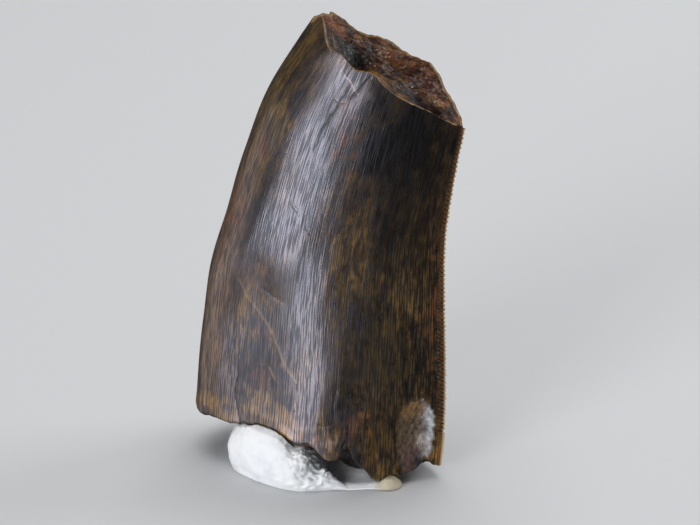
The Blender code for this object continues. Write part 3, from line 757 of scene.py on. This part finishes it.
def fossil_enamel():
    """Fossil enamel: hydroxyapatite that iron and manganese stained umber, olive and gold, and that
    handling polished. It is near black between its streaks, fine dark lines 0.2 mm apart run down it, and
    it shines like waxed wood."""
    material, add = new_material("fossil_enamel")
    grain, marks, stain_and_shade, bare, cracks = (
        add("Attribute", attribute_name=name) for name in ("grain", "marks", "stain_and_shade", "bare", "cracks")
    )
    grain, marks = grain["Vector"], add("SeparateColor", {"Color": marks["Color"]})

    # Patches about 3 mm wide and 7 mm long, streaks 0.6 mm wide, and lines 0.12 mm wide and 2 mm long
    long_grain = add("Mapping", {"Vector": grain, "Scale": (1, 1, 0.45)})[0]
    line_grain = add("Mapping", {"Vector": grain, "Scale": (1, 1, 1 / 18)})[0]
    patch = add("TexNoise", {"Vector": long_grain, "Scale": 0.3, "Detail": 5, "Roughness": 0.6})[0]
    streak = add("TexNoise", {"Vector": long_grain, "Scale": 1.8, "Detail": 6, "Roughness": 0.75})[0]
    line = add("TexNoise", {"Vector": line_grain, "Scale": 8.5, "Detail": 1, "Roughness": 0.5})[0]

    # The lines are also a wave of the angle round the cylinder, which the streaks sway a little
    around = add("SeparateXYZ", (grain,))
    turn = add("Math", (around["Y"], around["X"]), operation="ARCTAN2")[0]
    sway = add("Math", (streak, 0.02, turn), operation="MULTIPLY_ADD")[0]
    wave = add("Math", (sway, LINES_ROUND), operation="MULTIPLY")[0]
    wave = add("Math", (wave,), operation="SINE")[0]
    line = add("Math", (wave, 0.07, line), operation="MULTIPLY_ADD")[0]

    tone = add("Mix", {0: 0.5, 2: patch, 3: streak})[0]
    own = add("ValToRGB", {"Fac": tone}, (
        (0.38, "#100b06"), (0.44, "#281e10"), (0.50, "#403019"), (0.56, "#5c4724"), (0.64, "#7e6336"),
    ))[0]
    colour = covered_by_patches(add, own, stain_and_shade, streak, 0.8, 0.15, 0.85)

    # The lines darken the stains too. Where the flake broke off, the bare scar is mottled and gritty, with a
    # painted highlight along its distal rim and painted shade at its foot
    shade = add("MapRange", (line, 0.42, 0.58, 0.22, 1.35))[0]
    colour = add("Mix", {0: 1.0, 6: colour, 7: shade}, **COLOUR_PRODUCT)[RESULT]
    scar = add("MapRange", (bare["Alpha"], 0.0, 0.5))[0]
    grit = add("TexNoise", {"Vector": grain, "Scale": 2.5, "Detail": 4, "Roughness": 0.8})[0]
    mottle = add("MapRange", (grit, 0.35, 0.65, 0.55, 1.3))[0]
    scar_colour_and_light = add("Mix", {0: 1.0, 6: bare["Color"], 7: mottle}, **COLOUR_PRODUCT)[RESULT]
    colour = add("Mix", {0: scar, 6: colour, 7: scar_colour_and_light}, **COLOUR_MIX)[RESULT]

    # The carina is browner, its denticles' tips are pale, partly from wear and partly as a painted
    # highlight, and the notches are painted dark as shade
    edge = add("MapRange", (marks["Blue"], 0.1, 0.8, 0.0, 0.75))[0]
    # Partly a painted highlight: the pale tips of the denticles
    crest = add("MapRange", (marks["Blue"], 0.65, 0.9))[0]
    # Painted shade: the notches between the denticles
    notch = add("MapRange", (marks["Green"], 0.25, 0.6))[0]
    for there, paint in ((edge, "#7c5128"), (crest, "#d8be94"), (notch, "#140c06")):
        colour = add("Mix", {0: there, 6: colour, 7: linear(paint)}, **COLOUR_MIX)[RESULT]

    # A crack is dark, or pale where it healed: full up to 0.5 half widths from its middle and gone at 1.3
    channels = add("SeparateColor", {"Color": cracks["Color"]})
    for offset, dark in ((channels["Red"], channels["Green"]), (channels["Blue"], cracks["Alpha"])):
        close = add("Math", (offset,), operation="ABSOLUTE")[0]
        close = add("MapRange", (close, 0.5, 1.3, 1.0, 0.0))[0]
        for sign, paint in ((1, DIRT), (-1, "#a88660")):
            there = add("Math", (dark, sign), operation="MULTIPLY")[0]
            there = add("Math", (there, close), operation="MULTIPLY", use_clamp=True)[0]
            colour = add("Mix", {0: there, 6: colour, 7: linear(paint)}, **COLOUR_MIX)[RESULT]
            line = add("Math", (there, -0.3 * sign, line), operation="MULTIPLY_ADD")[0]

    # Hair cracks run along the lines for a few millimetres: the places where a noise drawn out along the
    # crown passes 0.5, kept to a few patches
    hair = add("TexNoise", {"Vector": line_grain, "Scale": 0.9, "Detail": 2})[0]
    hair = add("Math", (hair, 0.5), operation="SUBTRACT")[0]
    hair = add("Math", (hair,), operation="ABSOLUTE")[0]
    hair = add("MapRange", (hair, 0.002, 0.006, 1.0, 0.0))[0]
    where = add("TexNoise", {"Vector": long_grain, "Scale": 0.55, "Detail": 3})[0]
    where = add("MapRange", (where, 0.56, 0.6, 0.0, 0.85))[0]
    hair = add("Math", (hair, where), operation="MULTIPLY")[0]
    colour = add("Mix", {0: hair, 6: colour, 7: linear(DIRT)}, **COLOUR_MIX)[RESULT]
    line = add("Math", (hair, -0.3, line), operation="MULTIPLY_ADD")[0]

    # The dark lines and the cracks don't shine, and the dull places and the scar shine little
    rough = add("MapRange", (line, 0.4, 0.54, 0.5, 0.27))[0]
    for dull in (marks["Red"], scar):
        rough = add("Mix", {0: dull, 2: rough, 3: 0.6})[0]
    ridges = add("Bump", {"Height": line, "Distance": 0.000015})[0]
    relief = add("Bump", {"Height": streak, "Distance": 0.00001, "Normal": ridges})[0]
    shader = add("BsdfPrincipled", {
        "Base Color": colour, "Roughness": rough, "Normal": relief, "IOR": MINERAL_IOR,
    })[0]
    add("OutputMaterial", {"Surface": shader})
    return material


def broken_dentine():
    """Fossil dentine where it broke: turned to red-brown glassy mineral of crystals 0.2 mm wide, each of
    which shines its own way, with painted glints on a few, black painted shade in the pits and a golden
    band inside the enamel."""
    material, add = new_material("broken_dentine")
    grain, marks, stain_and_shade = (add("Attribute", attribute_name=name) for name in ("grain", "marks", "stain_and_shade"))
    grain, marks = grain["Vector"], add("SeparateColor", {"Color": marks["Color"]})
    patch = add("TexNoise", {"Vector": grain, "Scale": 0.7, "Detail": 6, "Roughness": 0.7})[0]
    crystal = add("TexVoronoi", {"Vector": grain, "Scale": 5.5})["Color"]
    lot = add("SeparateColor", {"Color": crystal})
    own = add("ValToRGB", {"Fac": patch}, (
        (0.36, "#120906"), (0.46, "#2e1b12"), (0.54, "#54341f"), (0.64, "#8c6440"),
    ))[0]
    colour = covered_by_patches(add, own, stain_and_shade, patch, 1.2, 0.2, 0.8)
    shade = add("MapRange", {0: lot["Red"], 3: 0.6, 4: 1.35})[0]
    colour = add("Mix", {0: 1.0, 6: colour, 7: shade}, **COLOUR_PRODUCT)[RESULT]
    # A few crystals are painted pale, as painted glints of light
    painted_glints = add("MapRange", (lot["Green"], 0.975, 0.995, 0.0, 0.4))[0]
    for there, paint in ((painted_glints, "#c0b8a8"), (marks["Green"], "#a08054")):
        colour = add("Mix", {0: there, 6: colour, 7: linear(paint)}, **COLOUR_MIX)[RESULT]

    # Each crystal turns the surface's normal its own way: normal + 0.5 * (random vector - 0.5), and less in
    # the pits
    normal = add("NewGeometry")["Normal"]
    turn = add("VectorMath", (crystal, (0.5, 0.5, 0.5)), operation="SUBTRACT")[0]
    amount = add("MapRange", (marks["Red"], 0.2, 0.8, 0.5, 0.2))[0]
    normal = add("VectorMath", (turn, amount, normal), operation="MULTIPLY_ADD")[0]
    normal = add("VectorMath", (normal,), operation="NORMALIZE")[0]
    normal = add("Bump", {"Height": patch, "Distance": 0.0001, "Normal": normal})[0]
    rough = add("MapRange", (lot["Blue"], 0.82, 0.95, 0.5, 0.18))[0]
    rough = add("Mix", {0: marks["Red"], 2: rough, 3: 0.9})[0]
    shader = add("BsdfPrincipled", {
        "Base Color": colour, "Roughness": rough, "Normal": normal, "IOR": MINERAL_IOR,
    })[0]
    add("OutputMaterial", {"Surface": shader})
    return material


def add_piece(name, mesh, *materials):
    """Puts a mesh in the scene as an object with the materials given."""
    for material in materials:
        mesh.materials.append(material)
    piece = bpy.data.objects.new(name, mesh)
    bpy.context.scene.collection.objects.link(piece)
    return piece


crown = add_piece("crown", crown_mesh, fossil_enamel(), broken_dentine())
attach(crown, "root")
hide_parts("tooth")


# The putty: a lump of white reusable mounting putty, pressed by hand onto the surface and up under the
# tooth. Its top takes the form of the tooth's underside, and a thin gap is left between the two.
PUTTY_OUTLINE = (
    (-7.5, -3.0), (-6.8, -5.1), (-4.7, -6.4), (-2.3, -7.2), (0.2, -7.4), (2.4, -6.5),
    (4.4, -5.5), (6.4, -4.6), (8.0, -4.3), (8.6, -3.2), (7.6, -1.4), (7.6, 0.4),
    (7.4, 2.4), (5.6, 4.2), (2.5, 5.3), (-2.0, 5.5), (-6.0, 4.0), (-7.7, 0.6),
)
PUTTY_CENTRE = (-0.6, -0.8)
PUTTY_HEIGHT, PUTTY_SKIRT, PUTTY_GAP = 5.2, 0.4, 0.02
PUTTY_FALL_START, PUTTY_FALL, PUTTY_FALL_BEND = -0.6, 0.8, 1.5
PUTTY_LUMPS = (
    (7.9, -3.6, 0.8, 0.9, 1.1),  # the lobe at the distal end
    (2.9, -2.0, 2.8, 2.8, -4.2),  # the hollow behind the notch
    (-0.4, -6.8, 0.6, 0.9, -0.9),  # dents from pressing it on
    (1.7, -6.2, 0.5, 0.8, -0.7),
)
PUTTY_AROUND, PUTTY_UP = 440, 150
# The side as steps in from the outline, each with its share of the height, and the share of the rows that
# it takes
PUTTY_SIDE = ((0.0, 0.0), (-0.35, 0.2), (-0.3, 0.5), (0.1, 0.8), (0.5, 0.95), (1.0, 1.0))
PUTTY_SIDE_ROWS = 0.3


def putty_height(x, y):
    """Top of the putty: a mound that falls away to the distal end, with the sum of its lumps, and no higher
    than the underside of the tooth that stands in it."""
    past = x - PUTTY_FALL_START
    z = np.maximum(PUTTY_SKIRT, PUTTY_HEIGHT - PUTTY_FALL * (past + np.hypot(past, PUTTY_FALL_BEND)) / 2)
    for lump in PUTTY_LUMPS:
        z = z + mound(x, y, *lump)
    return np.clip(z, PUTTY_SKIRT, broken_face(BASE_BREAK, x, y) - PUTTY_GAP)


def putty_mesh():
    """A grid in two parameters: t round the outline, the closed Catmull-Rom curve, and s from its edge up
    the side and in over the top to the centre. Returns its points and its faces, with one face for the flat
    underside."""
    outline = np.array(PUTTY_OUTLINE)
    t = np.arange(PUTTY_AROUND) * len(outline) / PUTTY_AROUND
    index = np.floor(t).astype(int)
    stations = (outline[(index + step) % len(outline)] for step in (-1, 0, 1, 2))
    arm = curve_between(*stations, (t % 1)[:, None]) - PUTTY_CENTRE
    s = np.linspace(0, 1, PUTTY_UP)[:, None]
    steps = np.linspace(0, PUTTY_SIDE_ROWS, len(PUTTY_SIDE))
    inset, lift = (np.interp(s, steps, side) for side in zip(*PUTTY_SIDE))
    over_top = np.clip((s - PUTTY_SIDE_ROWS) / (1 - PUTTY_SIDE_ROWS), 0, 1)
    inward = (1 - inset / np.linalg.norm(arm, axis=1)) * (1 - over_top)
    x, y = (PUTTY_CENTRE[axis] + arm[:, axis] * inward for axis in (0, 1))
    grid = np.stack((x, y, putty_height(x, y) * lift), -1)
    points = np.concatenate((grid[:-1].reshape(-1, 3), grid[-1, :1]))
    number = np.arange(len(points) - 1).reshape(-1, PUTTY_AROUND)
    number = np.concatenate((number, number[:, :1]), 1)
    centre = np.full(PUTTY_AROUND, len(points) - 1)
    faces = np.concatenate((cell_faces(number), np.stack((number[-1, :-1], number[-1, 1:], centre), -1)))
    return points, faces.tolist() + [number[0, :-1][::-1].tolist()]


# Dents of the fingers over the whole lump, and crumples where it was pinched up under the tooth's front
# edge. They begin above the flat underside, and none stands out more than 0.12 mm.
FINGER_DENTS, CRUMPLES = ((0.05, 2.6, 43),), ((0.06, 0.6, 44),)
PINCH_DEPTH, PINCH_SIZE, PINCH_SEED, PINCH_WARP = 0.45, 0.9, 42, ((0.3, 1.0, 41),)
CRUMPLE_CENTRE, CRUMPLE_SPREAD = np.array((1.6, -7.0, 2.4)), np.array((2.6, 3.4, 2.6))
DENTS_BEGIN, MOST_PROUD = 0.8, 0.12
smooth_points, putty_faces = putty_mesh()
crumpled = bell(np.linalg.norm((smooth_points - CRUMPLE_CENTRE) / CRUMPLE_SPREAD, axis=1))
rest = smooth_step(0.0, DENTS_BEGIN, smooth_points[:, 2])
shape = mesh_of("putty_shape", smooth_points, putty_faces)
outward = np.zeros((len(smooth_points), 3), np.float32)
shape.vertices.foreach_get("normal", outward.ravel())
bpy.data.meshes.remove(shape)
across = smooth_points[:, 0] + rippled(smooth_points, PINCH_WARP)
pinch = scoops(across, smooth_points[:, 2], PINCH_SIZE, PINCH_SEED) - 0.5
dents = rippled(smooth_points, FINGER_DENTS) + PINCH_DEPTH * crumpled * pinch
dents = dents + crumpled * rippled(smooth_points, CRUMPLES)
putty_points = smooth_points + outward * (rest * np.minimum(dents, MOST_PROUD))[:, None]


def mounting_putty():
    """White mounting putty: chalk in an oily binder, pressed by hand. It is matt, painted grey in its
    crumples as shade, and cream towards the distal end. Object coordinates are in metres."""
    material, add = new_material("white_mounting_putty")
    place = add("TexCoord")["Object"]
    soil = add("TexNoise", {"Vector": place, "Scale": 500, "Detail": 5, "Roughness": 0.6})[0]
    hollow = add("Attribute", attribute_name="hollow")["Fac"]
    along = add("SeparateXYZ", (place,))["X"]
    colour = add("ValToRGB", {"Fac": soil}, ((0.35, "#e8ecf0"), (0.5, "#f4f6f9"), (0.6, "#f8fafc")))[0]
    # Painted shade: grey where the dents are deep
    crumple_shade = add("MapRange", (hollow, 0.05, 0.35, 0.0, 0.7))[0]
    cream = add("MapRange", (along, 0.0064, 0.0074, 0.0, 0.9))[0]
    for there, paint in ((crumple_shade, "#8c979c"), (cream, "#c4b898")):
        colour = add("Mix", {0: there, 6: colour, 7: linear(paint)}, **COLOUR_MIX)[RESULT]
    bumps = add("Bump", {"Height": soil, "Distance": 0.0002})[0]
    shader = add("BsdfPrincipled", {"Base Color": colour, "Roughness": 0.6, "Normal": bumps})[0]
    add("OutputMaterial", {"Surface": shader})
    return material


lump = mesh_of("mounting_putty", putty_points, putty_faces)
# The depth of the dents, which the putty's material paints grey as shade
store(lump, "hollow", np.clip(-dents * rest, 0, 1)[:, None])
putty = add_piece("mounting_putty", lump, mounting_putty())
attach(putty, "root")
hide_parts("putty")


# The studio: a sheet of pale matt card just under the putty, soft lights round it, and the camera where the
# photo's stood. None of it is part of the object.
def floor_card():
    """Plain pale card, matt."""
    material, add = new_material("pale_card")
    shader = add("BsdfPrincipled", {
        "Base Color": linear("#cfd0d2"), "Roughness": 0.8, "Specular IOR Level": 0.1,
    })[0]
    add("OutputMaterial", {"Surface": shader})
    return material


FLOOR_HALF, FLOOR_DROP = 4000.0, 0.02
floor_points = np.array(((-1, -1, 0), (1, -1, 0), (1, 1, 0), (-1, 1, 0))) * FLOOR_HALF - (0, 0, FLOOR_DROP)
floor = add_piece("floor", mesh_of("floor", floor_points, [(0, 1, 2, 3)]), floor_card())


def aim(thing, azimuth, elevation, distance, target):
    """Puts a camera or a light at a distance from the target, and turns it to look there. Azimuth 0 is in
    front of the object, at -Y, and 90 is at +X."""
    turn, lift = math.radians(azimuth), math.radians(elevation)
    away = np.array((math.sin(turn) * math.cos(lift), -math.cos(turn) * math.cos(lift), math.sin(lift)))
    thing.location = (np.array(target) + away * distance) * MM
    right = np.cross((0, 0, 1), away)
    right /= np.linalg.norm(right)
    thing.rotation_euler = Matrix(np.stack((right, np.cross(away, right), away), -1).tolist()).to_euler()


LIGHT_TARGET = (2, 0, 20)


def soft_box(name, azimuth, elevation, distance, size, watts, colour="#ffffff"):
    """A rectangular area light."""
    light = bpy.data.lights.new(name, "AREA")
    light.shape, light.size, light.size_y = "RECTANGLE", size[0] * MM, size[1] * MM
    light.energy, light.color = watts, linear(colour)[:3]
    lamp = bpy.data.objects.new(name, light)
    bpy.context.scene.collection.objects.link(lamp)
    aim(lamp, azimuth, elevation, distance, LIGHT_TARGET)
    return lamp


VIEW_AZIMUTH, VIEW_ELEVATION, VIEW_DISTANCE = 20.0, 24.0, 350.0
VIEW_TARGET = (2.71, 0.0, 20.0)
PIXELS, PIXEL_SIZE, SENSOR = 700, 0.09, 36.0
camera = bpy.data.objects.new("camera", bpy.data.cameras.new("camera"))
camera.data.sensor_width = SENSOR
camera.data.lens = SENSOR * VIEW_DISTANCE / (PIXELS * PIXEL_SIZE)
camera.data.clip_end = 100.0
bpy.context.scene.collection.objects.link(camera)
aim(camera, VIEW_AZIMUTH, VIEW_ELEVATION, VIEW_DISTANCE, VIEW_TARGET)
bpy.context.scene.camera = camera

# A large soft light from above, one beside the camera that fills, and one behind that draws the edges. The
# gloss is a broad panel low in front, and the edge gloss a fainter one at the mesial side. Both stand below
# the floor's level and are linked to the two pieces alone, so the floor doesn't block them. They are seen
# in the gloss and add no diffuse light.
overhead = soft_box("overhead", 200.0, 78.0, 700.0, (600.0, 600.0), 4.2)
fill = soft_box("fill", -15.0, 12.0, 700.0, (300.0, 300.0), 3.3)
soft_box("back", 130.0, 25.0, 400.0, (200.0, 260.0), 0.6)
gloss = soft_box("gloss", -22.0, -16.0, 400.0, (290.0, 170.0), 1.9, "#e2e4fa")
edge_gloss = soft_box("edge_gloss", -85.0, -15.0, 400.0, (260.0, 200.0), 0.2, "#e6e6f8")
for unseen in (fill, overhead, floor):
    unseen.visible_glossy = False
lit = bpy.data.collections.new("shown_to_gloss")
lit.objects.link(crown)
lit.objects.link(putty)
for panel in (gloss, edge_gloss):
    panel.visible_diffuse = False
    panel.light_linking.receiver_collection = lit
    panel.light_linking.blocker_collection = lit

world = bpy.data.worlds.new("studio")
world.use_nodes = True
background = world.node_tree.nodes["Background"].inputs
background["Color"].default_value, background["Strength"].default_value = linear("#c8ccd4"), 0.1
bpy.context.scene.world = world
bpy.context.scene.view_settings.view_transform = "Standard"
